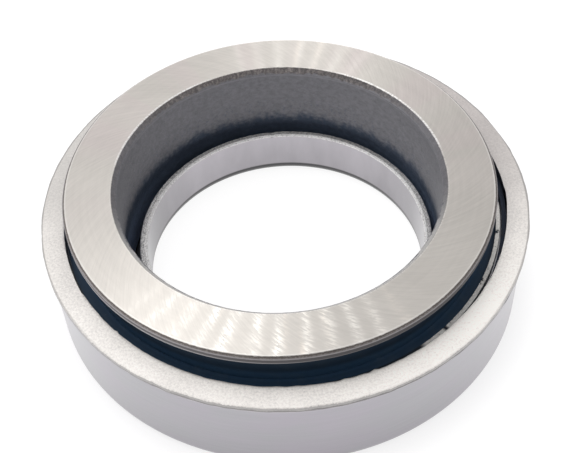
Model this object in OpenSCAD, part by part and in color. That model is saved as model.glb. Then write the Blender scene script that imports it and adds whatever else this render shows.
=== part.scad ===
// Clutch release bearing: a self-centring angular-contact ball bearing in a pressed steel casing.
// Millimetres, +Z up along the casing's axis, seat face of the casing at z = 0.

/* [Casing] */
// Bore of the collar that seats on the release sleeve
bore_d = 55; // [50:0.5:60]
// Thickness of the casing sheet
sheet_t = 1.5; // [1.2:0.1:2]
// Height of the collar above the seat face
collar_h = 10.6; // [9:0.1:12]
// Inside radius of the bends at the foot of the casing
bend_r = 0.5; // [0.3:0.1:0.9]
// Reach of the rolled lip in from the inside of the casing wall
lip_reach = 2.35; // [2.1:0.05:2.6]
// Round on the upper inner edge of the lip
lip_round = 0.5; // [0.3:0.1:1.1]
// How far the rolled corner stands proud of the casing wall
rim_proud = 0.76; // [0.5:0.02:0.9]
// Round under the rolled corner
rim_round = 0.5; // [0.3:0.05:0.7]
// Break on the upper outer edge of the rolled corner
corner_break = 0.15; // [0.1:0.05:0.3]
// Break on the sheared edges of the collar
collar_break = 0.2; // [0.1:0.05:0.3]

/* [Face ring] */
// Radial gap between the collar and the bore of the face ring
collar_gap = 1.8; // [1.5:0.1:3]
// Wall of the face ring between its bore and the bottom of its groove
face_wall = 2.65; // [2.4:0.05:3]
// Radial width of the ring from its bore to the rim of the flange
face_w = 10.1; // [9.8:0.1:10.9]
// Chamfer at the mouth of the bore
mouth_chamfer = 1; // [0.5:0.1:1.5]
// Thickness of the flange
flange_t = 2.4; // [2:0.1:3.5]
// Height of the underside of the flange above the shoulder of the casing
flange_lift = 3.8; // [2.5:0.1:5]
// Chamfer under the rim of the flange
rim_chamfer = 0.8; // [0.5:0.1:1.2]
// Rough chamfer between the working face and the rim
face_break = 0.5; // [0.3:0.05:0.7]
// Fillet between the flange and the body of the ring
flange_fillet = 1; // [0.5:0.1:1.5]
// Gap between the foot of the face ring and the floor of the casing
foot_gap = 0.5; // [0.3:0.1:0.6]

/* [Ball set] */
// Diameter of a ball
ball_d = 7.938; // [7:0.001:8.8]
// Number of balls
ball_count = 20; // [16:1:20]
// Contact angle of the balls, up from the plane of the ring
contact_angle = 30; // [27:1:33]
// Radius of the grooves as a share of the ball diameter
conformity = 0.52; // [0.515:0.001:0.53]
// Running clearance of a ball in each groove
ball_play = 0.06; // [0.05:0.01:0.08]
// Height of the thrust shoulders above the bottom of a groove
shoulder_h = 2.8; // [2.5:0.1:3]
// Height of the low lands above the bottom of a groove
land_h = 0.55; // [0.4:0.05:0.6]
// Sheet thickness of the cage
cage_t = 1; // [0.8:0.1:1.3]
// Clearance of a ball in its cage window
window_play = 0.2; // [0.1:0.05:0.25]
// Rim of the cage beyond its windows
cage_rim = 0.6; // [0.5:0.1:0.9]

/* [Outer race] */
// Wall of the race outside the bottom of its groove
race_wall = 1.8; // [1.7:0.02:2.2]
// Thickness of the race's foot under the balls
race_foot = 4.1; // [3.6:0.1:4.6]
// Chamfer on the outer corners of the race
race_chamfer = 0.4; // [0.2:0.1:0.6]
// Clearance of the race above the floor of the casing
floor_play = 0.02; // [0.01:0.01:0.04]
// Radial gap between the race and the casing wall, bearing centred
float_gap = 1.2; // [1.1:0.1:1.5]
// Radial place of the floating bearing in the casing as photographed
float_rest = -0.73; // [-0.9:0.01:0.9]

/* [Seal and spring] */
// Sheet thickness of the seal case
case_t = 0.85; // [0.6:0.05:1]
// Depth of the seat of the seal case in the race
case_seat = 2; // [1.6:0.1:2.4]
// Wall of the race outside the seat of the seal case
seat_wall = 1.15; // [1.1:0.05:1.3]
// Clearance of a pressed-in sheet ring in its seat
press_play = 0.02; // [0.01:0.01:0.03]
// Gap between the cage and the seal case
cage_gap = 0.6; // [0.4:0.05:0.8]
// Gap between the rim of the seal case and the lip of the casing
rim_gap = 0.3; // [0.2:0.05:0.4]
// Radial gap between the web of the seal case and the face ring
web_gap = 1.45; // [1.2:0.05:1.6]
// Running clearance of the rubber to the face ring
lip_play = 0.2; // [0.1:0.05:0.3]
// Thickness of the rubber on the web of the seal case
rubber_t = 1.9; // [1.7:0.05:2.1]
// Thickness of the tip of the tall rubber lip
tip_t = 0.6; // [0.5:0.05:0.8]
// Thickness of the root of the tall rubber lip
root_t = 1.2; // [1:0.05:1.4]
// Radial place of the root of the tall lip out from the edge of the web
root_inset = 0.2; // [0.1:0.05:0.4]
// Height of the lower edge of the short rubber lip above the underside of the web
short_lip_cut = 0.4; // [0.3:0.05:0.6]
// Height of the upper edge of the short rubber lip above the web
short_lip_rise = 0.2; // [0.1:0.05:0.4]
// Height of the space for the wave spring
spring_space = 2; // [1.8:0.1:2.2]
// Thickness of the wave spring
spring_t = 0.4; // [0.3:0.05:0.5]
// Radial width of the wave spring
spring_w = 0.9; // [0.8:0.05:0.9]
// Inset of the spring from the outer edge of the race
spring_inset = 0.05; // [0.05:0.01:0.1]
// Number of waves of the spring
spring_waves = 6; // [4:1:8]
// Gap between the wave spring and what it rides between
spring_play = 0.03; // [0.02:0.01:0.05]
// Thickness of the grease shield
shield_t = 0.6; // [0.5:0.05:0.7]
// Radial width of the seat of the grease shield in the race
shield_seat = 1.2; // [1:0.1:1.4]
// Gap between the grease shield and the face ring
shield_gap = 0.4; // [0.3:0.05:0.5]
// Recess of the grease shield in the foot of the race
shield_recess = 0.1; // [0.05:0.05:0.2]

/* [Hidden] */
$fn = 96;

// Radii from the collar out to the groove of the face ring
ball_r = ball_d / 2;
bore_r = bore_d / 2;
collar_r = bore_r + sheet_t;
face_bore_r = collar_r + collar_gap;
groove_in_r = face_bore_r + face_wall;

// Grooves: each arc is shifted along the contact line so that the running clearance lies there
groove_r = conformity * ball_d;
groove_shift = groove_r - ball_r - ball_play;
shift_r = groove_shift * cos(contact_angle);
shift_z = groove_shift * sin(contact_angle);
pitch_r = groove_in_r + groove_r - shift_r;
groove_out_r = pitch_r - shift_r + groove_r;

// Shoulders and lands of the two rings
body_r = groove_in_r + shoulder_h;
foot_r = groove_in_r + land_h;
thrust_r = groove_out_r - shoulder_h;
land_r = groove_out_r - land_h;
flange_r = face_bore_r + face_w;

// Race, casing wall and lip
race_r = groove_out_r + race_wall;
wall_r = race_r + float_gap;
shell_r = wall_r + sheet_t;
casing_r = shell_r + rim_proud;
lip_r = wall_r - lip_reach;

// Heights from the floor up to the balls
floor_z = sheet_t;
race_z = floor_z + floor_play;
ball_z = race_z + race_foot + ball_r;
face_foot_z = floor_z + foot_gap;

// Cage section: a straight strip square to the contact line
window_d = ball_d + 2 * window_play;
strip_half = window_d / 2 + cage_rim;
cage_top_z = ball_z + strip_half * cos(contact_angle) + cage_t / 2 * sin(contact_angle);

// Heights from the cage up to the working face
case_z = cage_top_z + cage_gap;
web_top_z = case_z + case_t;
race_top_z = case_z + case_seat;
lip_z = race_top_z + spring_space;
shoulder_z = lip_z + sheet_t;
flange_z = shoulder_z + flange_lift;
face_z = flange_z + flange_t;

// Seal case, rubber, spring and shield
seat_r = race_r - seat_wall;
case_r = seat_r - press_play;
rim_in_r = case_r - case_t;
rim_z = lip_z - rim_gap;
web_r = body_r + web_gap;
rubber_z = web_top_z + rubber_t;
tip_r = flange_r - rim_chamfer - lip_play;
tip_z = flange_z - lip_play;
root_r = web_r + root_inset + root_t;
spring_r = race_r - spring_inset;
shield_r = thrust_r + shield_seat;
shield_z = race_z + shield_recess;

// Names of the balls
ball_names = [for (i = [1 : ball_count]) str("ball_", i < 10 ? "0" : "", i)];

// One rectangle of a ring's section
module band(r0, r1, z0, z1) {
    translate([r0, z0]) square([r1 - r0, z1 - z0]);
}

// A triangle that cuts or fills a corner of a section
module corner(r, z, dr, dz) {
    polygon([[r, z], [r + dr, z], [r, z + dz]]);
}

// What a round takes off an outer corner at r, z; the signs of sr and sz point into the metal
module corner_round(r, z, rad, sr, sz) {
    difference() {
        translate([min(r, r + sr * rad), min(z, z + sz * rad)]) square(rad);
        translate([r + sr * rad, z + sz * rad]) circle(rad);
    }
}

// Moves the bearing to its place in the casing
module floating() {
    translate([float_rest, 0, 0]) children();
}

// Outside of the casing's section before it is hollowed, with the proud corner of the rolled lip
module casing_outside() {
    difference() {
        union() {
            band(bore_r, shell_r, 0, shoulder_z);
            band(bore_r, casing_r, lip_z, shoulder_z);
        }
        corner_round(bore_r, 0, bend_r + sheet_t, 1, 1);
        corner_round(shell_r, 0, bend_r + sheet_t, -1, 1);
        corner_round(casing_r, lip_z, rim_round, -1, 1);
        corner(casing_r, shoulder_z, -corner_break, -corner_break);
    }
}

// Hollow of the casing's section, with the inside bends at its foot
module casing_hollow() {
    difference() {
        band(collar_r, wall_r, floor_z, lip_z);
        corner_round(collar_r, floor_z, bend_r, 1, 1);
        corner_round(wall_r, floor_z, bend_r, -1, 1);
    }
}

// Pressed steel casing: wall, floor, collar and rolled lip
module casing() {
    color([0.72, 0.71, 0.73])
    rotate_extrude()
    difference() {
        casing_outside();
        casing_hollow();
        band(0, lip_r, lip_z - 0.01, shoulder_z + 1);
        corner_round(lip_r, shoulder_z, lip_round, 1, -1);
        band(0, collar_r + 0.01, collar_h, shoulder_z + 1);
        corner(bore_r, collar_h, collar_break, -collar_break);
        corner(collar_r, collar_h, -collar_break, -collar_break);
    }
}

// Stationary outer race with its groove, seal seat and shield seat
module outer_race() {
    color([0.6, 0.6, 0.62])
    floating()
    rotate_extrude()
    difference() {
        band(thrust_r, race_r, race_z, race_top_z);
        band(0, land_r, ball_z, race_top_z + 1);
        translate([pitch_r - shift_r, ball_z + shift_z]) circle(groove_r);
        band(0, seat_r, case_z, race_top_z + 1);
        band(0, shield_r, race_z - 1, shield_z + shield_t);
        corner(race_r, race_z, -race_chamfer, race_chamfer);
        corner(race_r, race_top_z, -race_chamfer, -race_chamfer);
    }
}

// Rotating face ring: body with groove, flange with ground working face
module face_ring() {
    color([0.8, 0.79, 0.77])
    floating()
    rotate_extrude()
    difference() {
        union() {
            band(face_bore_r, body_r, face_foot_z, face_z);
            band(face_bore_r, flange_r, flange_z, face_z);
            difference() {
                band(body_r - 0.01, body_r + flange_fillet, flange_z - flange_fillet, flange_z + 0.01);
                translate([body_r + flange_fillet, flange_z - flange_fillet]) circle(flange_fillet);
            }
        }
        band(foot_r, body_r + 1, face_foot_z - 1, ball_z);
        translate([pitch_r + shift_r, ball_z - shift_z]) circle(groove_r);
        corner(face_bore_r, face_z, mouth_chamfer, -mouth_chamfer);
        corner(face_bore_r, face_foot_z, race_chamfer, race_chamfer);
        corner(foot_r, face_foot_z, -race_chamfer, race_chamfer);
        corner(flange_r, face_z, -face_break, -face_break);
        corner(flange_r, flange_z, -rim_chamfer, rim_chamfer);
    }
}

// Place of a ball on the pitch circle
module at_ball(i) {
    rotate([0, 0, i * 360 / ball_count]) translate([pitch_r, 0, ball_z]) children();
}

// One steel ball
module ball(i) {
    color([0.85, 0.85, 0.87]) floating() at_ball(i) sphere(ball_r);
}

// Conical window cage
module ball_cage() {
    color([0.62, 0.6, 0.55])
    floating()
    difference() {
        rotate_extrude()
        translate([pitch_r, ball_z])
        rotate(-contact_angle)
        band(-cage_t / 2, cage_t / 2, -strip_half, strip_half);
        for (i = [0 : ball_count - 1]) {
            at_ball(i)
            rotate([0, 90 + contact_angle, 0])
            cylinder(d = window_d, h = 4 * cage_t, center = true);
        }
    }
}

// Steel case of the seal: rim pressed into the race, web over the cage
module seal_case() {
    color([0.7, 0.7, 0.72])
    floating()
    rotate_extrude()
    difference() {
        union() {
            band(rim_in_r, case_r, case_z, rim_z);
            band(web_r, case_r, case_z, web_top_z);
        }
        corner_round(case_r, case_z, case_t / 2, -1, 1);
    }
}

// Rubber of the seal: bonded body, short lip to the ring's body, tall lip to the flange
module seal_lip() {
    color([0.06, 0.06, 0.07])
    floating()
    rotate_extrude()
    polygon([
        [web_r, case_z],
        [web_r, web_top_z],
        [rim_in_r, web_top_z],
        [rim_in_r, rubber_z],
        [root_r, rubber_z],
        [tip_r, tip_z],
        [tip_r - tip_t, tip_z],
        [root_r - root_t, rubber_z],
        [body_r + lip_play, web_top_z + short_lip_rise],
        [body_r + lip_play, case_z + short_lip_cut]
    ]);
}

// Height of the spring's middle plane at an angle
function spring_mid(a) = (race_top_z + lip_z) / 2
    + (spring_space - spring_t - 2 * spring_play) / 2 * cos(spring_waves * a);

// Wavy spring washer between the race and the casing's lip
module wave_spring() {
    steps = spring_waves * 20;
    section = [[-spring_w, -1], [0, -1], [0, 1], [-spring_w, 1]];
    points = [
        for (i = [0 : steps - 1]) let (a = i * 360 / steps)
        for (s = section)
        [(spring_r + s[0]) * cos(a), (spring_r + s[0]) * sin(a), spring_mid(a) + s[1] * spring_t / 2]
    ];
    faces = [
        for (i = [0 : steps - 1])
        for (k = [0 : 3])
        let (j = (i + 1) % steps, n = (k + 1) % 4)
        each [[i * 4 + k, j * 4 + n, j * 4 + k], [i * 4 + k, i * 4 + n, j * 4 + n]]
    ];
    color([0.25, 0.27, 0.32]) floating() polyhedron(points, faces);
}

// Flat washer that closes the ball space from below
module grease_shield() {
    color([0.6, 0.6, 0.6])
    floating()
    rotate_extrude()
    band(foot_r + shield_gap, shield_r - press_play, shield_z, shield_z + shield_t);
}

casing();
outer_race();
face_ring();
ball_cage();
seal_case();
seal_lip();
wave_spring();
grease_shield();
for (i = [0 : ball_count - 1]) {
    ball(i);
}
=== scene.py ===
"""Looks of the clutch release bearing: finishes, ragged pressed edges, studio and camera.

Places and sizes in the finishes are in millimetres, turns are in radians, and a part of a unit vector called
east points along X and one called north along Y, so the viewer stands in the south.
"""

from __future__ import annotations

import logging
import math
from dataclasses import dataclass
from enum import Enum
from typing import Any, Union

import bpy
import numpy as np
from mathutils import Matrix, Vector

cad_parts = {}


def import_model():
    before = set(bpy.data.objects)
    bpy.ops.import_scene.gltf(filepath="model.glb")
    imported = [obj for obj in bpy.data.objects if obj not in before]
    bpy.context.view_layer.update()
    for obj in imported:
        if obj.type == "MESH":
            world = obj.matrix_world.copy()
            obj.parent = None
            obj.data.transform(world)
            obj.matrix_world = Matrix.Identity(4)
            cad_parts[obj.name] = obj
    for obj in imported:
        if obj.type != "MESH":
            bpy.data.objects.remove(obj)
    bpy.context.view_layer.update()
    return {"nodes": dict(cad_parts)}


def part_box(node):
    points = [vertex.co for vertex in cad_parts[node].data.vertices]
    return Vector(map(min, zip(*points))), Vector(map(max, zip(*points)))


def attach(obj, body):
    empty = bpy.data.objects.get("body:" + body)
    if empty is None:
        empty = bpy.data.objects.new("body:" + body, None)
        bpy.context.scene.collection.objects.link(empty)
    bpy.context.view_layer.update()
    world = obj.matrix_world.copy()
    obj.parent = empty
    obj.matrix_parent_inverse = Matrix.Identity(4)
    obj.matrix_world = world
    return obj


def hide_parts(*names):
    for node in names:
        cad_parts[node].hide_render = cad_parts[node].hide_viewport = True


LOG = logging.getLogger("bearing")
MM = 0.001
PHOTO_WIDTH = 561
SENSOR_WIDTH = 36.0
SHARP_ANGLE = math.radians(38.0)

Colour = tuple[float, float, float]
Point = tuple[float, float]
Range = tuple[float, float]
Place = tuple[float, float, float]
Number = Union[float, "Value"]


class Value:
    """A number, colour or vector that varies over a surface; the operators add Math nodes."""

    def __init__(self, sheet: "NodeSheet", socket: bpy.types.NodeSocket | None) -> None:
        """Keeps the sheet and the output socket."""
        self.sheet = sheet
        self.socket = socket

    def __add__(self, other: Number) -> "Value":
        """This plus other."""
        return self.sheet.math("ADD", self, other)

    def __radd__(self, other: float) -> "Value":
        """Other plus this."""
        return self.sheet.math("ADD", other, self)

    def __sub__(self, other: Number) -> "Value":
        """This minus other."""
        return self.sheet.math("SUBTRACT", self, other)

    def __rsub__(self, other: float) -> "Value":
        """Other minus this."""
        return self.sheet.math("SUBTRACT", other, self)

    def __mul__(self, other: Number) -> "Value":
        """This times other."""
        return self.sheet.math("MULTIPLY", self, other)

    def __rmul__(self, other: float) -> "Value":
        """Other times this."""
        return self.sheet.math("MULTIPLY", other, self)

    def other(self, out: str | int) -> "Value":
        """Another output of the same node."""
        return Value(self.sheet, self.socket.node.outputs[out])


def opaque(colour: Value | Colour) -> Value | tuple[float, float, float, float]:
    """A colour as a socket takes it."""
    return colour if isinstance(colour, Value) else (*colour, 1.0)


@dataclass(frozen=True)
class Polar:
    """Place of a surface point about a ring's axis, and the unit vector out from that axis."""

    r: Value
    turn: Value
    z: Value
    east: Value
    north: Value

    def around(self, radius: Number, rise: Number) -> Value:
        """A place on a ring of some radius, with its own upright part."""
        return self.r.sheet.vector(self.east * radius, self.north * radius, rise)


class NodeSheet:
    """The nodes of one material or of the world."""

    def __init__(self, tree: bpy.types.NodeTree) -> None:
        """Empties the tree."""
        self.tree = tree
        tree.nodes.clear()

    def node(
        self,
        kind: str,
        settings: dict[str, Any] | None = None,
        sockets: dict[str | int, Any] | None = None,
        out: str | int = 0,
    ) -> Value:
        """Adds a node.

        Args:
            kind: Blender's type of the node.
            settings: attributes, set before the sockets.
            sockets: values or links of the inputs, by name or place.
            out: output that is returned.

        Returns:
            The chosen output, or an empty value for a node with none.
        """
        made = self.tree.nodes.new(kind)
        for name, setting in (settings or {}).items():
            setattr(made, name, setting)
        for key, value in (sockets or {}).items():
            if isinstance(value, Value):
                self.tree.links.new(value.socket, made.inputs[key])
            else:
                made.inputs[key].default_value = value
        return Value(self, made.outputs[out] if len(made.outputs) else None)

    def math(self, operation: str, first: Number, second: Number = 0.0) -> Value:
        """Adds a Math node for one operation on one or two numbers."""
        return self.node("ShaderNodeMath", {"operation": operation}, {0: first, 1: second})

    def step(self, value: Number, low: float, high: float) -> Value:
        """A mask that rises smoothly from 0 at low to 1 at high."""
        sockets = {"Value": value, "From Min": low, "From Max": high}
        return self.node("ShaderNodeMapRange", {"interpolation_type": "SMOOTHSTEP"}, sockets)

    def drop(self, value: Number, low: float, high: float) -> Value:
        """A mask that falls smoothly from 1 at low to 0 at high."""
        return 1 - self.step(value, low, high)

    def span(self, value: Number, low: float, high: float, soft: float) -> Value:
        """A mask that is 1 between low and high, with soft edges."""
        return self.step(value, low - soft, low + soft) * self.drop(value, high - soft, high + soft)

    def mix(self, mask: Number, first: Value | Colour, second: Value | Colour) -> Value:
        """A colour that is first where the mask is 0 and second where it is 1."""
        settings = {"data_type": "RGBA", "clamp_factor": True}
        return self.node("ShaderNodeMix", settings, {0: mask, 6: opaque(first), 7: opaque(second)}, 2)

    def shade(self, colour: Value | Colour, amount: Number) -> Value:
        """Makes a colour lighter or darker.

        Args:
            colour: a colour or a varying colour.
            amount: what it is multiplied by.

        Returns:
            The shaded colour.
        """
        grey = self.node("ShaderNodeCombineColor", None, {0: amount, 1: amount, 2: amount})
        settings = {"data_type": "RGBA", "blend_type": "MULTIPLY"}
        return self.node("ShaderNodeMix", settings, {0: 1.0, 6: opaque(colour), 7: grey}, 2)

    def vector(self, x: Number, y: Number, z: Number) -> Value:
        """A vector of three numbers."""
        return self.node("ShaderNodeCombineXYZ", None, {0: x, 1: y, 2: z})

    def noise(self, place: Value, scale: float, detail: float = 2.0, roughness: float = 0.5) -> Value:
        """Cloudy noise from 0 to 1; detail counts its finer octaves and roughness is their share."""
        sockets = {"Vector": place, "Scale": scale, "Detail": detail, "Roughness": roughness}
        return self.node("ShaderNodeTexNoise", None, sockets)

    def polar(self, axis_x: float) -> Polar:
        """Finds the point's place about an upright axis.

        Args:
            axis_x: place of the axis along X, in millimetres.

        Returns:
            Radius, turn and height, and the two parts of the unit vector out from the axis.
        """
        place = self.node("ShaderNodeTexCoord", None, None, "Object")
        parts = self.node("ShaderNodeSeparateXYZ", None, {0: place})
        x = parts * (1.0 / MM) - axis_x
        y = parts.other(1) * (1.0 / MM)
        z = parts.other(2) * (1.0 / MM)
        r = self.math("SQRT", x * x + y * y)
        east, north = (self.math("DIVIDE", part, r) for part in (x, y))
        return Polar(r, self.math("ARCTAN2", y, x), z, east, north)

    def bump(self, height: Value) -> Value:
        """A normal from a height in millimetres."""
        sockets = {"Strength": 1.0, "Distance": 1.0, "Height": height * MM}
        return self.node("ShaderNodeBump", None, sockets)


def swing(noise: Value, reach: Number) -> Value:
    """Noise from 0 to 1 as a swing about nothing, half the reach to each side."""
    return (noise - 0.5) * reach


@dataclass(frozen=True)
class Finish:
    """What a piece is made of and how it is worked."""

    name: str

    def sockets(self, sheet: NodeSheet) -> dict[str, Any]:
        """Sockets of the Principled shader; each finish gives its own."""
        raise NotImplementedError

    def material(self) -> bpy.types.Material:
        """Builds the material.

        Returns:
            The new material, with the finish's sockets on one Principled shader.
        """
        made = bpy.data.materials.new(self.name)
        made.use_nodes = True
        sheet = NodeSheet(made.node_tree)
        shader = sheet.node("ShaderNodeBsdfPrincipled", None, self.sockets(sheet))
        sheet.node("ShaderNodeOutputMaterial", None, {"Surface": shader})
        return made


@dataclass(frozen=True)
class RingGrain:
    """Place on the face ring, the noises that its zones share and the mask of its outer flange."""

    at: Polar
    place: Value
    fine: Value
    specks: Value
    mottle: Value
    flakes: Value
    outer: Value


@dataclass(frozen=True)
class GroundRing(Finish):
    """Face ring: ground working face with chatter, rough chamfers, scaled side and a matt dark bore."""

    axis_x: float
    face_z: float
    rim_r: float
    bore_r: float
    mean_r: float = 36.0
    mouth_chamfer: float = 1.0
    rim_chamfer: float = 0.5
    side_h: float = 1.1
    chatter_count: int = 54
    chatter_front: Range = (-2.2, -1.15)
    chatter_back: Range = (1.05, 1.75)
    lay_slant: float = -0.03
    # Heights of the edge of the painted shade low in the bore, and of the painted light that lifts it near
    # the bottom.
    deep_shade_edge: Range = (12.0, 15.0)
    deep_shade_lift: Range = (6.0, 12.5)
    droplet_zone: Range = (13.0, 18.5)
    face: Colour = (0.636, 0.603, 0.559)
    rosy: Colour = (0.65, 0.596, 0.566)
    # Painted highlights: colours of the glints along the chatter bands.
    glint: Colour = (1.0, 0.965, 0.9)
    warm_glint: Colour = (1.0, 0.905, 0.8)
    edge_line: Colour = (0.92, 0.9, 0.86)
    # Painted highlight along the back edge of the mouth.
    mouth_highlight_tone: Colour = (1.0, 0.99, 0.97)
    scale: Colour = (0.095, 0.09, 0.094)
    chamfer_dark: Colour = (0.18, 0.16, 0.15)
    chamfer_light: Colour = (0.34, 0.315, 0.3)
    burr_and_reflection: Colour = (0.1, 0.085, 0.075)
    corner: Colour = (0.42, 0.4, 0.41)
    lit_foot: Colour = (0.66, 0.65, 0.67)
    bore: Colour = (0.21, 0.208, 0.225)
    # Painted shade low in the bore, partly an oil film.
    deep: Colour = (0.086, 0.113, 0.166)
    fleck: Colour = (0.4, 0.39, 0.4)
    # Painted light: tone of the lighter band just under the mouth.
    rubbed_and_lit: Colour = (0.36, 0.35, 0.37)
    burnt_dark: Colour = (0.1, 0.086, 0.08)
    burnt_light: Colour = (0.33, 0.29, 0.268)
    front_mouth: Colour = (0.74, 0.72, 0.69)

    def grain(self, sheet: NodeSheet) -> RingGrain:
        """Sets up what the zones share.

        Args:
            sheet: the nodes.

        Returns:
            The place, the noises and the flange's mask.
        """
        at = sheet.polar(self.axis_x)
        place = at.around(self.mean_r, at.z * 1.5)
        return RingGrain(
            at,
            place,
            fine=sheet.noise(place, 2.2, 3.0),
            specks=sheet.noise(place, 3.4, 4.0, 0.7),
            mottle=sheet.noise(place, 0.8, 4.0, 0.65),
            flakes=sheet.noise(place, 1.5, 4.0, 0.75),
            outer=sheet.step(at.r, self.rim_r - 3.0, self.rim_r - 2.0),
        )

    def lay(self, sheet: NodeSheet, at: Polar, run: float) -> Value:
        """Fine slanting lines that the grinding wheel left.

        Args:
            sheet: the nodes.
            at: place on the ring.
            run: how soon a line ends, higher for shorter strokes.

        Returns:
            Noise from 0 to 1, drawn out along the lines.
        """
        wrapped = at.turn + (at.r - self.mean_r) * self.lay_slant
        east = sheet.math("COSINE", wrapped) * self.mean_r
        north = sheet.math("SINE", wrapped) * self.mean_r
        return sheet.noise(sheet.vector(east, north, at.r * run), 1.7, 3.0, 0.6)

    def chatter(self, sheet: NodeSheet, at: Polar) -> Value:
        """Uneven bands across the face where the wheel shook, strong in the two sectors where the highlights
        fall and gone elsewhere; the base colour carries painted highlights along them.

        Args:
            sheet: the nodes.
            at: place on the ring.

        Returns:
            Strength of the bands.
        """
        place = at.around(self.mean_r, at.r * 0.4)
        drift = sheet.noise(place, 0.11) * 5.0
        wave = sheet.math("SINE", at.turn * self.chatter_count + at.r * 0.12 + drift) * 0.5 + 0.5
        uneven = 0.55 + 0.75 * sheet.step(sheet.noise(place, 0.2), 0.35, 0.65)
        fading = 1 - 0.3 * sheet.step(at.turn, -2.1, -1.1)
        near = sheet.span(at.turn, *self.chatter_front, 0.3) * fading
        far = sheet.span(at.turn, *self.chatter_back, 0.25) * 0.35
        return sheet.math("POWER", wave, 1.6) * (near + far) * uneven

    def ground_face(self, sheet: NodeSheet, grain: RingGrain, lay: Value, chatter: Value) -> Value:
        """Colour of the working face, with its lay, warm patches and bright edge lines, painted highlights
        along the chatter bands, painted light towards the left, and a painted highlight along the mouth's
        back edge.

        Args:
            sheet: the nodes.
            grain: what the zones share.
            lay: long grinding lines.
            chatter: strength of the chatter bands.

        Returns:
            The colour.
        """
        at = grain.at
        strokes = sheet.step(self.lay(sheet, at, 0.45), 0.42, 0.62)
        rings = sheet.noise(at.around(2.0, at.r * 1.4), 1.0)
        patches = sheet.noise(grain.place, 0.07)
        level = 0.86 + swing(lay, 0.24) + swing(rings, 0.1) + patches * 0.14
        # Painted light: the face is lighter towards the left and darker towards the right.
        level = level * (0.98 - 0.11 * at.east)
        tinge = sheet.step(sheet.noise(grain.place, 0.16, 3.0), 0.4, 0.62) * sheet.step(at.north, -0.4, 0.5)
        colour = sheet.shade(sheet.mix(tinge, self.face, self.rosy), level)
        warmth = sheet.step(sheet.noise(grain.place, 0.3), 0.45, 0.62)
        painted_glint = sheet.mix(warmth, self.glint, self.warm_glint)
        behind = sheet.step(at.north, 0.0, 0.4)
        dashes = (0.2 + strokes * 0.7) * (1 - behind) + behind * (0.35 + strokes * 0.2)
        # Painted highlight: glint colour along the chatter bands, strongest where the highlights fall.
        colour = sheet.mix(chatter * dashes, colour, painted_glint)
        mouth_r = self.bore_r + self.mouth_chamfer
        edge = sheet.span(at.r, self.rim_r - self.rim_chamfer - 0.2, self.rim_r, 0.06)
        edge = edge + sheet.drop(at.r, mouth_r + 0.12, mouth_r + 0.24) * sheet.step(grain.specks, 0.4, 0.6)
        colour = sheet.mix(edge * 0.35, colour, self.edge_line)
        # Painted highlight: a bright line on the face along the back edge of the mouth.
        polished = sheet.drop(at.r, mouth_r + 0.2, mouth_r + 0.36) * sheet.span(at.north, 0.2, 0.9, 0.06)
        return sheet.mix(polished * sheet.step(grain.specks, 0.36, 0.56) * 0.75, colour, self.mouth_highlight_tone)

    def dark_bore(self, sheet: NodeSheet, grain: RingGrain, mouth: Value) -> Value:
        """Colour of the bore: matt grey, with painted shade low down that is partly an oil film and is lifted
        by painted light towards the bottom and at the sides, a band of painted light under the mouth, flecks,
        and burnt at its mouth.

        Args:
            sheet: the nodes.
            grain: what the zones share.
            mouth: mask of the chamfer at the mouth.

        Returns:
            The colour.
        """
        at = grain.at
        drips = sheet.noise(at.around(30.0, at.z * 0.15), 0.5, 3.0)
        depth = at.z + swing(grain.mottle, 3.5) + swing(drips, 4.0)
        # Painted shade low in the bore, partly an oil film, lifted by painted light towards the bottom and at
        # the sides.
        lit_sides = sheet.drop(at.north, 0.1, 0.9)
        deep_shade = sheet.shade(self.deep, 0.8 + sheet.drop(at.z, *self.deep_shade_lift) * (0.8 + 2.4 * lit_sides))
        colour = sheet.mix(sheet.step(depth, *self.deep_shade_edge), deep_shade, self.bore)
        droplets = sheet.step(grain.flakes, 0.54, 0.66) * sheet.span(at.z, *self.droplet_zone, 2.0)
        colour = sheet.mix(droplets * 0.6, colour, self.deep)
        colour = sheet.shade(colour, 0.42 + grain.mottle * 0.85 + grain.specks * 0.32)
        colour = sheet.mix(sheet.step(grain.specks, 0.62, 0.74) * 0.3, colour, self.fleck)
        mouth_z = self.face_z - self.mouth_chamfer
        # Painted light: a lighter band on the bore just under the mouth chamfer.
        wavy = at.z + swing(grain.fine, 0.3)
        worn_and_lit = sheet.span(wavy, mouth_z - 0.5, mouth_z - 0.15, 0.1) * (1 - grain.outer)
        colour = sheet.mix(worn_and_lit * 0.35, colour, self.rubbed_and_lit)
        burnt = sheet.mix(sheet.step(grain.flakes, 0.4, 0.68), self.burnt_dark, self.burnt_light)
        burnt = sheet.shade(burnt, 1.0 - 0.3 * sheet.step(at.east, 0.1, 0.5))
        burnt = sheet.mix(sheet.step(at.north, -0.5, 0.0), self.front_mouth, burnt)
        return sheet.mix(mouth * (0.8 - 0.55 * sheet.span(at.north, -0.35, 0.6, 0.3)), colour, burnt)

    def flange(self, sheet: NodeSheet, grain: RingGrain, bore: Value, chamfer: Value) -> Value:
        """Adds the flange to the bore's colour: scaled side, rough chamfer and the lines at its corners, with
        painted light on the side and a painted highlight along its foot, both towards the left.

        Args:
            sheet: the nodes.
            grain: what the zones share.
            bore: colour of the bore.
            chamfer: mask of the chamfer at the rim.

        Returns:
            Colour of all but the working face.
        """
        at = grain.at
        rim_z = self.face_z - self.rim_chamfer
        foot_z = rim_z - self.side_h
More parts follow.
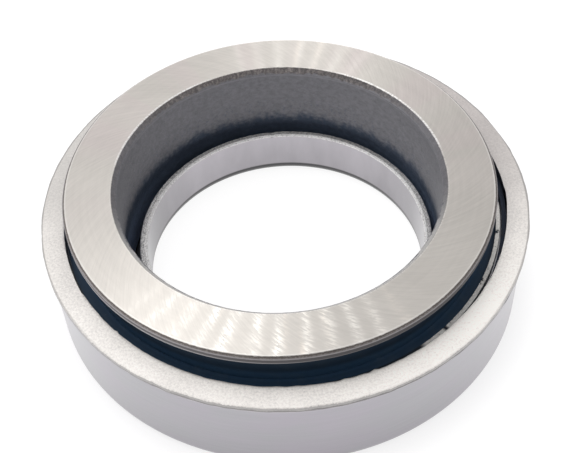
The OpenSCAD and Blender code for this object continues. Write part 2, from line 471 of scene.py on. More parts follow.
        # Painted light: the side is lighter towards the left.
        lit_west = sheet.drop(at.east, -0.8, 0.3)
        turned = sheet.noise(sheet.vector(at.east, at.north, at.z * 4.0), 1.0, 3.0, 0.6)
        side = sheet.shade(self.scale, (0.65 + turned * 0.7) * (1.0 + lit_west * 0.7))
        rough = sheet.mix(sheet.step(grain.specks, 0.4, 0.7), self.chamfer_dark, self.chamfer_light)
        burr_and_reflection = sheet.span(at.z + swing(grain.fine, 0.1), self.face_z - 0.24, self.face_z - 0.1, 0.03)
        rough = sheet.mix(burr_and_reflection * 0.6, rough, self.burr_and_reflection)
        colour = sheet.mix(grain.outer, bore, side)
        colour = sheet.mix(chamfer, colour, rough)
        corner = sheet.span(at.z, rim_z - 0.13, rim_z + 0.1, 0.05) * grain.outer
        corner = corner + sheet.span(at.z, foot_z - 0.1, foot_z + 0.12, 0.05) * grain.outer * 0.6
        colour = sheet.mix(corner * (0.5 + grain.fine * 0.6), colour, self.corner)
        # Painted highlight along the side's foot, towards the left.
        foot = sheet.span(at.z, foot_z - 0.1, foot_z + 0.3, 0.08) * grain.outer
        return sheet.mix(foot * lit_west * 0.7, colour, self.lit_foot)

    def sockets(self, sheet: NodeSheet) -> dict[str, Any]:
        """Joins the zones by radius and height.

        Args:
            sheet: the nodes.

        Returns:
            Sockets of the Principled shader.
        """
        grain = self.grain(sheet)
        at = grain.at
        fine = grain.fine
        lay = self.lay(sheet, at, 0.12)
        chatter = self.chatter(sheet, at)
        mouth_z = self.face_z - self.mouth_chamfer
        rim_z = self.face_z - self.rim_chamfer
        top = sheet.step(at.z + swing(fine, 0.16), self.face_z - 0.12, self.face_z - 0.05)
        ragged = at.z + swing(fine, 0.4) + swing(grain.mottle, 1.5)
        mouth = sheet.step(ragged, mouth_z, mouth_z + 0.3) * (1 - grain.outer)
        chamfer = sheet.step(at.z + swing(fine, 0.12), rim_z - 0.05, rim_z + 0.05) * grain.outer
        colour = self.flange(sheet, grain, self.dark_bore(sheet, grain, mouth), chamfer)
        colour = sheet.mix(top, colour, self.ground_face(sheet, grain, lay, chatter))
        bare = 1 - top
        roughness = 0.36 + bare * (0.06 + chamfer * 0.04) - top * chatter * 0.08 + swing(fine, 0.08)
        pitted = swing(grain.specks, chamfer * 0.05 + mouth * 0.1)
        cloudy = swing(grain.mottle, (1 - grain.outer) * 0.14)
        return {
            "Base Color": colour,
            "Metallic": 1.0 - bare * (1 - chamfer) * 0.45,
            "Roughness": roughness,
            "Anisotropic": 0.7,
            "Anisotropic Rotation": 0.25,
            "Normal": sheet.bump(bare * (pitted + cloudy) + top * swing(lay, 0.02)),
        }


@dataclass(frozen=True)
class PressedCasing(Finish):
    """Casing sheet: bright tumbled shoulder, satin drawn wall, torn rim and a sheared collar edge."""

    bore_r: float
    collar_h: float
    casing_r: float
    lip_r: float
    lip_z: float
    shoulder_z: float
    collar_side: Range = (40.0, 41.0)
    trough: Range = (29.2, 45.5)
    rubbed_ring: Range = (31.5, 38.5)
    lightest: float = 1.2
    shoulder: Colour = (0.865, 0.828, 0.784)
    tan: Colour = (0.79, 0.73, 0.7)
    pit: Colour = (0.4, 0.388, 0.37)
    hem: Colour = (0.34, 0.325, 0.31)
    # Painted shade along the lip's rolled edge at the front.
    roll: Colour = (0.42, 0.41, 0.38)
    shadowed: Colour = (0.045, 0.05, 0.06)
    rim: Colour = (0.46, 0.44, 0.425)
    torn: Colour = (0.225, 0.206, 0.202)
    # Painted reflection of the floor along the rim's lower edge.
    burr_and_reflection: Colour = (0.8, 0.77, 0.8)
    wall: Colour = (0.398, 0.374, 0.417)
    cool: Colour = (0.386, 0.38, 0.405)
    collar: Colour = (0.42, 0.4, 0.43)
    # Painted shade at the collar's foot, where it meets the floor.
    foot: Colour = (0.018, 0.017, 0.02)
    sheared_dark: Colour = (0.22, 0.215, 0.22)
    sheared_light: Colour = (0.85, 0.83, 0.81)
    bead: Colour = (1.0, 0.98, 0.96)
    trough_dark: Colour = (0.12, 0.115, 0.11)
    oil_stain: Colour = (0.19, 0.17, 0.15)

    def shoulder_colour(self, sheet: NodeSheet, at: Polar, grain: Value) -> Value:
        """Colour of the tumbled shoulder, lighter at the front right and to the right as painted light and
        darker towards the back as painted shade, its dark outer hem, and painted shade on the lip's rolled
        and cut edge.

        Args:
            sheet: the nodes.
            at: place on the casing.
            grain: fine noise of the tumbled surface.

        Returns:
            The colour.
        """
        place = at.around(at.r, at.z)
        clouds = sheet.noise(place, 0.09, 3.0)
        pits = sheet.noise(place, 2.6)
        # Painted light and shade: lighter to the right and at the front right, painted shade towards the
        # back.
        shaded = sheet.step(at.north, -0.6, 0.38) * (0.34 + 0.06 * at.east)
        tone = 1.1 + 0.05 * at.east - shaded + 0.1 * sheet.span(at.turn, -1.0, -0.6, 0.2)
        # Darker and warmer towards the back right.
        back_right_tint = sheet.step(at.north, -0.4, 0.6) * sheet.step(at.east, 0.0, 0.5)
        colour = sheet.mix(back_right_tint, self.shoulder, self.tan)
        calm = 0.85 - 0.4 * sheet.step(at.north, -0.4, 0.3)
        level = tone + swing(grain, calm) + swing(clouds, 0.35)
        colour = sheet.shade(colour, sheet.math("MINIMUM", level, self.lightest))
        colour = sheet.mix(sheet.step(pits, 0.6, 0.74) * calm * 0.25, colour, self.pit)
        hem = sheet.step(at.r, self.casing_r - 0.52, self.casing_r - 0.32) * sheet.step(at.north, -0.8, -0.4)
        strength = 0.6 + 0.25 * sheet.step(at.north, -0.45, -0.1)
        colour = sheet.mix(hem * strength, colour, self.hem)
        # Painted shade: a darker band along the lip's inner edge at the front, where it rolls down.
        roll = sheet.drop(at.r, self.lip_r + 0.1, self.lip_r + 1.1) * sheet.drop(at.north, -0.9, -0.6)
        colour = sheet.mix(roll * 0.3, colour, self.roll)
        # Painted shade: the lip's cut edge under the shoulder is painted in shadow.
        cut = sheet.drop(at.z + swing(grain, 0.3), self.shoulder_z - 0.5, self.shoulder_z - 0.3)
        inner = sheet.drop(at.r, self.lip_r + 0.9, self.lip_r + 1.1)
        return sheet.mix(cut * inner, colour, self.shadowed)

    def rolled_top(self, sheet: NodeSheet, at: Polar, grain: Value) -> Value:
        """Colour of the shoulder and of the outer rim, torn in the press, with a painted reflection of the
        floor along the rim's bottom edge.

        Args:
            sheet: the nodes.
            at: place on the casing.
            grain: fine noise of the tumbled surface.

        Returns:
            The colour.
        """
        low = self.lip_z + 0.62
        waves = sheet.noise(at.around(at.r, at.z), 0.5)
        tear = at.z + swing(grain, 0.5) + swing(waves, 0.6)
        torn = sheet.shade(self.torn, 1.0 - 0.4 * sheet.step(at.east, 0.05, 0.4))
        edge = sheet.mix(sheet.drop(tear, low, low + 0.2), sheet.shade(self.rim, 0.8 + grain * 0.4), torn)
        # Painted reflection: a bright line along the rim's lower edge, which faces the floor.
        burr_and_reflection = sheet.drop(at.z + swing(waves, 0.3), self.lip_z + 0.15, self.lip_z + 0.32)
        edge = sheet.mix(burr_and_reflection * 0.8, edge, self.burr_and_reflection)
        rim = sheet.step(at.r, self.casing_r - 0.9, self.casing_r - 0.8)
        rim = rim * sheet.drop(at.z + swing(grain, 0.2), self.shoulder_z - 0.2, self.shoulder_z - 0.08)
        return sheet.mix(rim, self.shoulder_colour(sheet, at, grain), edge)

    def drawn_wall(self, sheet: NodeSheet, at: Polar, lines: Value) -> Value:
        """Colour of the outer wall, with blotches, faint drawing lines, painted shade towards the floor and a
        painted highlight just under the rim.

        Args:
            sheet: the nodes.
            at: place on the casing.
            lines: noise drawn out round the wall.

        Returns:
            The colour.
        """
        blotch = sheet.noise(at.around(40.0, at.z * 1.6), 0.08, 4.0, 0.6)
        colour = sheet.mix(sheet.step(blotch, 0.35, 0.65), self.cool, self.wall)
        # Painted shade: the wall darkens towards the floor.
        level = 0.81 + swing(lines, 0.16) + at.z * 0.011
        # Painted highlight: a lighter strip on the wall just under the rim.
        level = level + 0.14 * sheet.step(at.z, self.lip_z - 1.3, self.lip_z - 0.7)
        level = level + 0.3 * sheet.step(at.z, self.lip_z - 0.6, self.lip_z - 0.3)
        return sheet.shade(colour, level)

    def collar_colour(self, sheet: NodeSheet, at: Polar, bite: Value, foot: Value) -> Value:
        """Colour of the collar: streaked bore, darker everywhere but at the back as painted shade, painted
        shade at the foot, torn top and its bright inner edge.

        Args:
            sheet: the nodes.
            at: place on the casing.
            bite: coarse noise of the sheared edge.
            foot: mask of the bend at the foot.

        Returns:
            The colour.
        """
        streaks = sheet.noise(at.around(9.0, at.z * 0.12), 1.0, 3.0)
        level = 0.78 + swing(streaks, 0.3) + at.z * 0.025
        # Painted shade: the collar is darker everywhere but at the back, most of all on the left.
        side = 0.59 + 0.09 * at.east
        colour = sheet.shade(self.collar, level * (side + (1 - side) * sheet.step(at.north, 0.2, 0.85)))
        # Painted shade: a dark band at the foot, where the collar meets the floor.
        colour = sheet.mix(foot, colour, self.foot)
        torn = sheet.mix(sheet.step(bite, 0.35, 0.65), self.sheared_dark, self.sheared_light)
        torn = sheet.shade(torn, 1.07 - 0.18 * at.east - 0.42 * sheet.step(at.north, 0.3, 0.9))
        bead = sheet.drop(at.r + swing(bite, 0.4), self.bore_r + 0.45, self.bore_r + 0.65)
        dots = 0.62 + 0.5 * sheet.step(bite, 0.36, 0.56)
        rim = sheet.mix(bead, torn, sheet.shade(self.bead, dots))
        top = sheet.step(at.z, self.collar_h - 0.34, self.collar_h - 0.24)
        return sheet.mix(top, colour, rim)

    def seat_colour(self, sheet: NodeSheet, at: Polar) -> Value:
        """Colour of the floor's underside: rings rubbed by the sleeve's flange, and stains of oil.

        Args:
            sheet: the nodes.
            at: place on the casing.

        Returns:
            The colour.
        """
        rings = sheet.noise(at.around(1.5, at.r * 2.2), 1.0, 3.0, 0.6)
        rubbed_and_lit = sheet.span(at.r + swing(rings, 2.0), *self.rubbed_ring, 0.5)
        colour = sheet.shade(self.cool, 0.75 + rings * 0.45 + rubbed_and_lit * 0.25)
        stains = sheet.step(sheet.noise(at.around(at.r, 0.0), 0.09, 4.0, 0.6), 0.48, 0.75)
        return sheet.mix(stains * 0.4, colour, self.oil_stain)

    def sockets(self, sheet: NodeSheet) -> dict[str, Any]:
        """Joins the zones by radius and height, with grain, stains and drawing lines.

        Args:
            sheet: the nodes.

        Returns:
            Sockets of the Principled shader.
        """
        at = sheet.polar(0.0)
        grain = sheet.noise(at.around(at.r, at.z), 2.4, 3.0, 0.7)
        lines = sheet.noise(at.around(3.0, at.z * 2.5), 1.0, 3.0)
        bite = sheet.noise(at.around(28.0, at.r * 2.0), 2.2, 4.0, 0.75)
        high = sheet.step(at.z, self.lip_z - 0.1, self.lip_z + 0.05)
        outside = sheet.step(at.r, *self.collar_side)
        inside = sheet.span(at.r, *self.trough, 0.1) * sheet.span(at.z, 1.0, self.lip_z, 0.05)
        foot = sheet.drop(at.z, 2.1, 2.5) * sheet.drop(at.r, self.bore_r + 0.8, self.bore_r + 1.8)
        under = sheet.drop(at.z, 0.05, 0.5)
        colour = sheet.mix(high, self.drawn_wall(sheet, at, lines), self.rolled_top(sheet, at, grain))
        colour = sheet.mix(outside, self.collar_colour(sheet, at, bite, foot), colour)
        # Darker inside the trough under the bearing.
        colour = sheet.mix(inside * 0.7, colour, self.trough_dark)
        colour = sheet.mix(under, colour, self.seat_colour(sheet, at))
        tumbled = high * outside
        sheared = sheet.step(at.z, self.collar_h - 0.3, self.collar_h - 0.2) * (1 - outside)
        height = tumbled * swing(grain, 0.045) + sheared * swing(bite, 0.1) + swing(lines, 0.002)
        return {
            "Base Color": colour,
            "Metallic": 1.0 - tumbled * 0.65 - foot * 0.7 - sheared * 0.85,
            "Roughness": 0.3 + tumbled * (0.17 + grain * 0.1) + sheared * 0.15 + under * 0.1,
            "Coat Weight": 0.8,
            "Coat Roughness": 0.3,
            "Normal": sheet.bump(height),
        }


@dataclass(frozen=True)
class MouldedRubber(Finish):
    """Blue-black seal rubber with faint bloom and dust; painted light lifts the crease and the upright part,
    and painted shade darkens the tall lip higher up.
    """

    axis_x: float
    flat_z: float = 17.32
    crease_r: float = 39.1
    lip_shade: Range = (18.3, 20.8)
    body: Colour = (0.012, 0.029, 0.054)
    bloom: Colour = (0.02, 0.036, 0.056)
    dust: Colour = (0.1, 0.11, 0.12)

    def sockets(self, sheet: NodeSheet) -> dict[str, Any]:
        """Bloom, dust, a fine moulded grain, and painted light and shade by height.

        Args:
            sheet: the nodes.

        Returns:
            Sockets of the Principled shader.
        """
        at = sheet.polar(self.axis_x)
        place = at.around(40.0, at.z + at.r)
        bloom = sheet.noise(place, 0.35, 4.0, 0.6)
        dust = sheet.noise(place, 3.0)
        colour = sheet.mix(sheet.step(bloom, 0.45, 0.8), self.body, self.bloom)
        colour = sheet.mix(sheet.step(dust, 0.72, 0.82) * 0.5, colour, self.dust)
        # Painted light and shade by height: the crease and the upright part are lightened, and the tall lip
        # is darkened higher up.
        upright = sheet.step(at.z, self.flat_z + 0.01, self.flat_z + 0.13)
        crease = sheet.drop(at.r, self.crease_r + 0.1, self.crease_r + 0.8) * (1 - upright)
        level = 1.95 + 1.4 * upright + 0.55 * crease - 2.55 * sheet.step(at.z, *self.lip_shade)
        return {
            "Base Color": sheet.shade(colour, level),
            "Roughness": 0.55 + swing(bloom, 0.3),
            "Specular IOR Level": 0.35,
            "Normal": sheet.bump(swing(dust, 0.02)),
        }


@dataclass(frozen=True)
class SealSheet(Finish):
    """Seal case: pressed sheet with a bright cut rim at the right, stained in places and dark elsewhere."""

    axis_x: float
    rim_r: float
    rim_z: float
    wall_t: float = 0.85
    bare_turn: Range = (-0.97, 1.2)
    nick_turn: Range = (-0.85, -0.83)
    sheet_tone: Colour = (0.5, 0.5, 0.5)
    cut_tone: Colour = (1.0, 0.97, 0.92)
    stain: Colour = (0.012, 0.02, 0.032)

    def sockets(self, sheet: NodeSheet) -> dict[str, Any]:
        """The cut rim from its height, with stains round it.

        Args:
            sheet: the nodes.

        Returns:
            Sockets of the Principled shader.
        """
        at = sheet.polar(self.axis_x)
        place = at.around(41.0, at.r)
        blots = sheet.noise(place, 0.45, 4.0, 0.7)
        grit = sheet.noise(place, 2.4, 3.0, 0.7)
        cut = sheet.step(at.z, self.rim_z - 0.08, self.rim_z - 0.04)
        bare = sheet.span(at.r + swing(grit, 0.3), self.rim_r - self.wall_t, self.rim_r - 0.1, 0.07)
        bare = bare * sheet.drop(blots, 0.56, 0.66)
        bare = bare * sheet.span(at.turn, *self.bare_turn, 0.02)
        bare = bare * (1 - sheet.span(at.turn, *self.nick_turn, 0.008))
        dull = 1.0 - 0.3 * sheet.step(at.turn, -0.7, -0.45)
        rim = sheet.mix(bare, self.stain, sheet.shade(self.cut_tone, (0.5 + grit) * dull))
        return {
            "Base Color": sheet.mix(cut, sheet.shade(self.sheet_tone, 0.8 + blots * 0.4), rim),
            "Metallic": 0.8 - cut * (0.7 - 0.85 * sheet.step(at.turn, -0.85, -0.45)),
            "Roughness": 0.4 + swing(grit, 0.2),
            "Normal": sheet.bump(swing(grit, 0.03)),
        }


class Lay(Enum):
    """Way that a plain steel piece was worked."""

    TURNED = "turned"
    PRESSED = "pressed"
    POLISHED = "polished"
    BLUED = "blued"


@dataclass(frozen=True)
class PlainSteel(Finish):
    """Steel of the pieces inside: one tone, with lines or blotches from its making and a film of oil."""

    axis_x: float
    tone: Colour
    stain: Colour
    lay: Lay
    roughness: float
    scratch: float = 0.008
    polished_scratch: float = 0.002

    def sockets(self, sheet: NodeSheet) -> dict[str, Any]:
        """Lines round the axis for turned steel, blotches for the others.

        Args:
            sheet: the nodes.

        Returns:
            Sockets of the Principled shader.
        """
        at = sheet.polar(self.axis_x)
        if self.lay is Lay.TURNED:
            place = at.around(2.0, (at.r + at.z) * 3.0)
        else:
            place = at.around(at.r * 0.5, at.z * 0.5)
        lines = sheet.noise(place, 1.0, 4.0, 0.65)
        blotch = sheet.noise(at.around(at.r, at.z), 0.55, 4.0, 0.7)
        colour = sheet.mix(sheet.step(blotch, 0.5, 0.78), self.tone, self.stain)
        depth = self.polished_scratch if self.lay is Lay.POLISHED else self.scratch
        return {
            "Base Color": sheet.shade(colour, 0.85 + lines * 0.3),
            "Metallic": 1.0,
            "Roughness": self.roughness + swing(blotch, 0.2),
            "Normal": sheet.bump(swing(lines, depth)),
        }


@dataclass(frozen=True)
class Lathe:
    """Turns a closed section about the upright axis into a mesh."""

    section: list[Point]
    segments: int

    def mesh(self, name: str, shift: np.ndarray) -> bpy.types.Object:
        """Builds the object.

        Args:
            name: name of the piece.
            shift: radial and upright offsets in millimetres, by segment and section point.

        Returns:
            The new object, in the scene and smooth apart from its sharp edges.
        """
        turn = np.linspace(0.0, 2.0 * math.pi, self.segments, endpoint=False)
        points = np.array(self.section)
        r = points[None, :, 0] + shift[..., 0]
        z = points[None, :, 1] + shift[..., 1]
        x = r * np.cos(turn)[:, None]
        y = r * np.sin(turn)[:, None]
        verts = np.stack([x, y, z], -1).reshape(-1, 3) * MM
        count = len(self.section)
        place = np.arange(self.segments * count).reshape(self.segments, count)
        ahead = np.roll(place, -1, 0)
        faces = np.stack([place, ahead, np.roll(ahead, -1, 1), np.roll(place, -1, 1)], -1).reshape(-1, 4)
        made = bpy.data.meshes.new(name)
        made.from_pydata(verts.tolist(), [], faces.tolist())
        made.shade_smooth()
        made.set_sharp_from_angle(angle=SHARP_ANGLE)
        piece = bpy.data.objects.new(name, made)
        bpy.context.scene.collection.objects.link(piece)
        return piece


def arc(centre: Point, radius: float, start: float, end: float, steps: int) -> list[Point]:
    """Points of an arc of a section.

    Args:
        centre: radius and height of the arc's centre.
        radius: radius of the arc.
        start: angle of the first point, in degrees.
        end: angle of the last point, in degrees.
        steps: number of pieces.

    Returns:
        The points, both ends included.
    """
    angles = [math.radians(start + (end - start) * i / steps) for i in range(steps + 1)]
    return [(centre[0] + radius * math.cos(a), centre[1] + radius * math.sin(a)) for a in angles]


def line(first: Point, last: Point, steps: int) -> list[Point]:
    """Points of a straight part of a section, both ends included."""
    return [
        (first[0] + (last[0] - first[0]) * i / steps, first[1] + (last[1] - first[1]) * i / steps)
        for i in range(steps + 1)
    ]


def smeared(draws: np.ndarray, width: float, reach: int) -> np.ndarray:
    """Smooths random draws round a ring.

    Args:
        draws: one draw for each segment.
        width: spread of the smoothing, in segments.
        reach: segments to each side that count.

    Returns:
        The smoothed draws.
    """
    kernel = np.exp(-0.5 * (np.arange(-reach, reach + 1) / width) ** 2)
    wrapped = np.concatenate([draws[-reach:], draws, draws[:reach]])
    return np.convolve(wrapped, kernel / kernel.sum(), "valid")


@dataclass
class Casing:
    """Pressed steel casing with its rolled lip, drawn again with the ragged edge of the press."""

    bore_r: float = 27.5
    collar_r: float = 29.0
    collar_h: float = 10.6
    collar_break: float = 0.2
    sheet_t: float = 1.5
    bend_r: float = 0.5
    shell_r: float = 46.034
    casing_r: float = 46.794
    lip_r: float = 42.184
    lip_z: float = 18.569
    shoulder_z: float = 20.069
    lip_round: float = 0.5
    rim_round: float = 0.5
    corner_break: float = 0.15
    # Room between a bend and the next point, and a radius between the collar and the lip
    bend_gap: float = 0.1
    middle_r: float = 40.0
    segments: int = 960
    seed: int = 7
    lip_reach: float = 1.6
    lip_rough: float = 0.055
    collar_bite: float = 0.12
    sharpest: float = 0.75
    corner_chips: float = 0.06
    corner_wear: float = 0.35
    # Turn in degrees and radial offset of the lip's edge in millimetres
    edge_marks: tuple[Point, ...] = (
        (-180.0, 0.1), (-174.0, 0.09), (-160.0, 0.25), (-152.2, 0.42), (-151.2, 0.12), (-147.0, 0.02),
        (-137.5, 0.02), (-136.8, -0.3), (-136.1, 0.04), (-120.0, 0.0), (-97.0, 0.04), (-94.5, -0.09),
        (-92.0, 0.06), (-89.5, -0.07), (-86.5, 0.03), (-79.5, 0.04), (-78.6, -0.13), (-77.0, 0.08),
        (-74.5, -0.05), (-72.6, 0.05), (-71.2, -0.26), (-70.2, 0.06), (-55.0, -0.03),
        (-40.0, 0.02), (-20.0, 0.15), (-8.0, 0.33), (-6.4, 0.42), (-5.6, 0.55), (-0.8, 0.62),
        (0.4, 0.48), (10.0, 0.36), (20.0, 0.2), (40.0, 0.0), (180.0, 0.1),
    )

    def section(self) -> list[Point]:
        """Draws the sheet's section.

        Returns:
            The closed section, from the collar's top down the bore and round the outside.
        """
        gap = self.bend_gap
        bend = self.bend_r + self.sheet_t
        collar_top = self.collar_h - self.collar_break
        rim_r = self.casing_r - self.rim_round
        round_r = self.lip_r + self.lip_round
        wall_r = self.shell_r - self.sheet_t
        foot_r = self.collar_r + self.bend_r
        points = line((self.bore_r, collar_top), (self.bore_r, bend + gap), 2)
        points += arc((self.bore_r + bend, bend), bend, 180.0, 270.0, 10)
        points += line((self.bore_r + bend + gap, 0.0), (self.shell_r - bend - gap, 0.0), 2)
        points += arc((self.shell_r - bend, bend), bend, 270.0, 360.0, 10)
        points += line((self.shell_r, bend + gap), (self.shell_r, self.lip_z), 2)
        points += line((self.shell_r + gap / 2.0, self.lip_z), (rim_r, self.lip_z), 1)
        points += arc((rim_r, self.lip_z + self.rim_round), self.rim_round, 270.0, 360.0, 6)[1:]
        points += [(self.casing_r, self.shoulder_z - self.corner_break)]
        points += [(self.casing_r - self.corner_break, self.shoulder_z)]
        points += line((self.casing_r - 0.3, self.shoulder_z), (round_r + gap / 2.0, self.shoulder_z), 8)
        points += arc((round_r, self.shoulder_z - self.lip_round), self.lip_round, 90.0, 180.0, 8)
        points += [(self.lip_r, self.lip_z)]
        points += line((self.lip_r + gap, self.lip_z), (wall_r, self.lip_z), 2)
        points += line((wall_r, self.lip_z - gap), (wall_r, bend), 3)
        points += arc((wall_r - self.bend_r, bend), self.bend_r, 360.0, 270.0, 4)[1:]
        points += line((wall_r - self.bend_r - gap, self.sheet_t), (foot_r + gap, self.sheet_t), 3)
        points += arc((foot_r, bend), self.bend_r, 270.0, 180.0, 4)
        points += line((self.collar_r, bend + gap), (self.collar_r, collar_top), 4)
        points += [(self.collar_r - self.collar_break, self.collar_h)]
        edge_r = self.collar_r - self.collar_break - 0.2
        points += line((edge_r, self.collar_h), (self.bore_r + self.collar_break, self.collar_h), 4)
        return points

    def sharpened(self, points: np.ndarray, degrees: np.ndarray) -> np.ndarray:
        """Inward moves that give the lip's round a sharper edge at the two sides.

        Args:
            points: the section.
            degrees: turn of each segment.

        Returns:
            The moves by segment and section point.
        """
        out = points[:, 0] - self.lip_r
        down = self.shoulder_z - points[:, 1]
        rounded = (out >= 0.0) & (out <= self.lip_round) & (down >= 0.0) & (down <= self.lip_round)
        sideways = np.clip((np.abs(np.cos(np.radians(degrees))) - 0.35) / 0.35, 0.0, 1.0)
        return sideways[:, None] * self.sharpest * (out * rounded)

    def shift(self, points: np.ndarray) -> np.ndarray:
        """Offsets that make the lip's edge and the collar's rim ragged and wear the outer corner.

        Args:
            points: the section.

        Returns:
            Radial and upright offsets by segment and section point.
        """
        degrees = (np.arange(self.segments) * 360.0 / self.segments + 180.0) % 360.0 - 180.0
        draws = np.random.default_rng(self.seed).normal(0.0, 1.0, self.segments)
        chips = smeared(draws, 1.6, 6)
        wear = smeared(draws, 7.0, 24)
        marks = np.array(self.edge_marks)
        ragged = np.interp(degrees, marks[:, 0], marks[:, 1]) + chips * self.lip_rough
        near = np.clip(1.0 - (points[:, 0] - self.lip_r) / self.lip_reach, 0.0, 1.0) ** 1.5
        near = near * (points[:, 1] > self.lip_z - 0.05) * (points[:, 0] > self.middle_r)
        corner = (points[:, 0] > self.casing_r - 0.35) & (points[:, 1] > self.lip_z + 0.2)
        worn_and_lit = np.abs(np.roll(chips, 11)) * self.corner_chips + np.abs(np.roll(wear, 31)) * self.corner_wear
        radial = ragged[:, None] * near - self.sharpened(points, degrees) - worn_and_lit[:, None] * corner
        rim = (points[:, 1] > self.collar_h - 0.25) & (points[:, 0] < self.middle_r)
        upright = np.minimum(chips, 0.0)[:, None] * self.collar_bite * rim
        return np.stack([radial, upright], -1)

    def finish(self) -> PressedCasing:
        """The finish of this casing's sheet."""
        edges = (self.casing_r, self.lip_r, self.lip_z, self.shoulder_z)
        return PressedCasing("casing_sheet", self.bore_r, self.collar_h, *edges)

    def build(self) -> None:
        """Makes the casing's mesh, dresses it and stands it for the CAD solid."""
        points = self.section()
        piece = Lathe(points, self.segments).mesh("casing_pressed", self.shift(np.array(points)))
        piece.data.materials.append(self.finish().material())
        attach(piece, "casing_shell")
        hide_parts("casing")
        LOG.info("casing: %d faces", len(piece.data.polygons))


@dataclass(frozen=True)
class RingPlace:
    """Where a ring of the CAD model sits at rest: its axis along X, outer radius and top."""

    axis_x: float
    radius: float
    top: float

    @classmethod
    def of(cls, low: Vector, high: Vector) -> "RingPlace":
        """Measures a ring by the corners of its box."""
        return cls((low.x + high.x) / 2.0 / MM, (high.x - low.x) / 2.0 / MM, high.z / MM)


@dataclass
class FaceRing:
    """Rotating face ring; its CAD solid stays and is dressed."""

    node: bpy.types.Object
    place: RingPlace
    face_w: float = 10.1

    def dress(self) -> None:
        """Gives the ring its ground, turned and rough zones."""
        rim_r = self.place.radius
        finish = GroundRing("ring_steel", self.place.axis_x, self.place.top, rim_r, rim_r - self.face_w)
        set_material(self.node, finish.material())
        LOG.info("face ring: rim radius %.2f mm, face at %.2f mm", rim_r, self.place.top)


@dataclass
class BallSet:
    """Pieces inside the casing: race, cage, balls, shield, spring and seal."""

    nodes: dict[str, bpy.types.Object]
    axis_x: float

    def steel(self, name: str, tone: Colour, stain: Colour, lay: Lay, roughness: float = 0.32) -> PlainSteel:
        """A plain steel about the bearing's axis."""
        return PlainSteel(name, self.axis_x, tone, stain, lay, roughness)

    def dress(self) -> None:
        """Gives each inner piece its finish."""
        case = RingPlace.of(*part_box("seal_case"))
        finishes = {
            "outer_race": self.steel("race_steel", (0.58, 0.58, 0.6), (0.42, 0.4, 0.38), Lay.TURNED),
            "ball_cage": self.steel("cage_sheet", (0.55, 0.53, 0.49), (0.3, 0.27, 0.22), Lay.PRESSED, 0.4),
            "grease_shield": self.steel("shield_sheet", (0.56, 0.56, 0.56), (0.38, 0.36, 0.33), Lay.PRESSED),
            "wave_spring": self.steel(
                "spring_steel", (0.03, 0.036, 0.05), (0.05, 0.042, 0.04), Lay.BLUED, 0.45
            ),
            "seal_case": SealSheet("seal_sheet", self.axis_x, case.radius, case.top),
            "seal_lip": MouldedRubber("seal_rubber", self.axis_x),
        }
        for name, finish in finishes.items():
            set_material(self.nodes[name], finish.material())
        ball = self.steel("ball_steel", (0.85, 0.85, 0.87), (0.75, 0.75, 0.78), Lay.POLISHED, 0.12).material()
        balls = [name for name in self.nodes if name.startswith("ball_") and name != "ball_cage"]
        for name in balls:
            set_material(self.nodes[name], ball)
        LOG.info("inner pieces: %d dressed, %d balls", len(finishes), len(balls))


def set_material(node: bpy.types.Object, material: bpy.types.Material) -> None:
    """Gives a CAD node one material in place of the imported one."""
    node.data.materials.clear()
    node.data.materials.append(material)


@dataclass(frozen=True)
class Softbox:
    """A lamp behind a soft screen that faces the object: place and size in metres, power in watts."""

    name: str
    place: Place
    size: Point
    power: float

    def build(self) -> None:
        """Hangs the lamp."""
        data = bpy.data.lights.new(self.name, "AREA")
        data.shape = "RECTANGLE"
        data.size = self.size[0]
        data.size_y = self.size[1]
        data.energy = self.power
        item = bpy.data.objects.new(self.name, data)
        item.location = self.place
        item.rotation_mode = "QUATERNION"
        item.rotation_quaternion = (-Vector(self.place)).to_track_quat("-Z", "Y")
        bpy.context.scene.collection.objects.link(item)


@dataclass(frozen=True)
class Paper:
    """Paper of the floor: how light it is, and how strongly it is lit from within."""

    tone: float
    glow: float

    def shader(self, sheet: NodeSheet) -> Value:
        """Lights the paper from within as well, so that it shows white and its shadows stay faint.

        Args:
            sheet: the nodes.

        Returns:
            The shader.
        """
        colour = (self.tone, self.tone * 0.98, self.tone, 1.0)
        lit = sheet.node("ShaderNodeBsdfDiffuse", None, {"Color": colour})
        inner = sheet.node("ShaderNodeEmission", None, {"Color": (1.0, 1.0, 1.0, 1.0), "Strength": self.glow})
        return sheet.node("ShaderNodeAddShader", None, {0: lit, 1: inner})


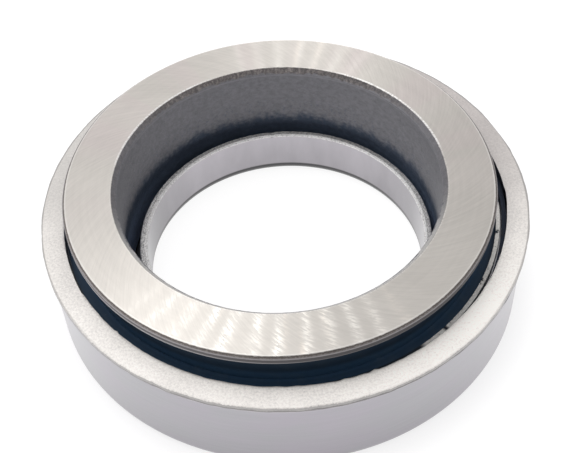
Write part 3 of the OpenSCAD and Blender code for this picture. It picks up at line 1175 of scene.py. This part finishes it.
@dataclass
class Studio:
    """Pale floor, soft sky, two softboxes and the camera."""

    focal_px: float = 1135.0
    elevation: float = 48.858
    roll: float = -3.375
    place: Place = (-0.920, -147.719, 181.570)
    sight: Range = (0.01, 10.0)
    floor_half: float = 2.0
    floor_drop: float = 0.05
    floor_tone: Colour = (0.82, 0.82, 0.82)
    white: Paper = Paper(0.22, 0.9)
    shaded: Paper = Paper(0.36, 0.73)
    shade_rise: Range = (36.0, 46.0)
    shade_fall: Range = (44.5, 52.5)
    sky_tone: Colour = (0.985, 0.985, 1.0)
    sky_level: float = 0.64
    overhead: float = 0.3
    leftward: float = 0.2
    viewer_way: Place = (0.0, -0.63, 0.776)
    viewer_dim: float = 0.55
    backdrop: float = 1.02
    lamps: tuple[Softbox, ...] = (
        Softbox("softbox_over", (-0.19, 0.09, 0.6), (0.34, 0.36), 0.95),
        Softbox("softbox_back", (0.02, 0.52, 0.4), (0.1, 0.2), 0.09),
    )

    def camera(self) -> None:
        """Places the camera as the photograph was taken."""
        data = bpy.data.cameras.new("camera")
        data.sensor_fit = "HORIZONTAL"
        data.sensor_width = SENSOR_WIDTH
        data.lens = self.focal_px / PHOTO_WIDTH * SENSOR_WIDTH
        data.clip_start, data.clip_end = self.sight
        rise = math.radians(self.elevation)
        lean = math.radians(self.roll)
        back = Vector((0.0, -math.cos(rise), math.sin(rise)))
        level = Vector((1.0, 0.0, 0.0))
        tall = Vector((0.0, math.sin(rise), math.cos(rise)))
        right = level * math.cos(lean) + tall * math.sin(lean)
        up = tall * math.cos(lean) - level * math.sin(lean)
        turn = Matrix((right, up, back)).transposed().to_4x4()
        item = bpy.data.objects.new("camera", data)
        item.matrix_world = Matrix.Translation(Vector(self.place) * MM) @ turn
        bpy.context.scene.collection.objects.link(item)
        bpy.context.scene.camera = item

    def floor_material(self) -> bpy.types.Material:
        """Paper that lights the object plainly, shows white, keeps the shadow and is clear from below.

        Returns:
            The new material.
        """
        made = bpy.data.materials.new("floor_paper")
        made.use_nodes = True
        sheet = NodeSheet(made.node_tree)
        rays = sheet.node("ShaderNodeLightPath", None, None, "Is Camera Ray")
        bounced = sheet.math("MAXIMUM", rays.other("Is Glossy Ray"), rays.other("Is Transmission Ray"))
        seen = sheet.math("MAXIMUM", rays, bounced)
        plain = sheet.node("ShaderNodeBsdfDiffuse", None, {"Color": (*self.floor_tone, 1.0)})
        away = sheet.polar(0.0).r
        beside = sheet.step(away, *self.shade_rise) * sheet.drop(away, *self.shade_fall)
        papers = {0: beside, 1: self.white.shader(sheet), 2: self.shaded.shader(sheet)}
        shown = sheet.node("ShaderNodeMixShader", None, papers)
        both = sheet.node("ShaderNodeMixShader", None, {0: seen, 1: plain, 2: shown})
        below = sheet.node("ShaderNodeNewGeometry", None, None, "Backfacing")
        clear = sheet.node("ShaderNodeBsdfTransparent")
        either = sheet.node("ShaderNodeMixShader", None, {0: below, 1: both, 2: clear})
        sheet.node("ShaderNodeOutputMaterial", None, {"Surface": either})
        return made

    def floor(self) -> None:
        """Lays the pale floor just under the casing."""
        half = self.floor_half
        level = -self.floor_drop * MM
        made = bpy.data.meshes.new("floor")
        corners = [(-half, -half, level), (half, -half, level), (half, half, level), (-half, half, level)]
        made.from_pydata(corners, [], [(0, 1, 2, 3)])
        made.materials.append(self.floor_material())
        item = bpy.data.objects.new("floor", made)
        bpy.context.scene.collection.objects.link(item)

    def sky(self) -> None:
        """A soft dome, brighter overhead and to the left, and dim in front where the viewer stands."""
        world = bpy.data.worlds.new("sky")
        bpy.context.scene.world = world
        world.use_nodes = True
        sheet = NodeSheet(world.node_tree)
        way = sheet.node("ShaderNodeTexCoord", None, None, "Generated")
        across = sheet.node("ShaderNodeSeparateXYZ", None, {0: way})
        towards = {0: way, 1: self.viewer_way}
        front = sheet.node("ShaderNodeVectorMath", {"operation": "DOT_PRODUCT"}, towards, "Value")
        strength = self.sky_level + self.overhead * sheet.step(across.other(2), 0.0, 0.9)
        strength = strength - self.leftward * across
        strength = strength * (1 - self.viewer_dim * sheet.step(front, 0.75, 0.95))
        seen = sheet.node("ShaderNodeLightPath", None, None, "Is Camera Ray")
        strength = strength * (1 - seen) + self.backdrop * seen
        sockets = {"Color": (*self.sky_tone, 1.0), "Strength": strength}
        dome = sheet.node("ShaderNodeBackground", None, sockets)
        sheet.node("ShaderNodeOutputWorld", None, {"Surface": dome})

    def build(self) -> None:
        """Sets up camera, floor, sky, lamps and the plain view transform."""
        bpy.context.scene.view_settings.view_transform = "Standard"
        self.camera()
        self.floor()
        self.sky()
        for lamp in self.lamps:
            lamp.build()
        LOG.info("studio: camera at %s mm", self.place)


def main() -> None:
    """Builds the looks in order."""
    logging.basicConfig(level=logging.INFO, format="%(name)s: %(message)s")
    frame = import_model()
    ring = RingPlace.of(*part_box("face_ring"))
    Casing().build()
    FaceRing(frame["nodes"]["face_ring"], ring).dress()
    BallSet(frame["nodes"], ring.axis_x).dress()
    Studio().build()


if __name__ == "__main__":
    main()
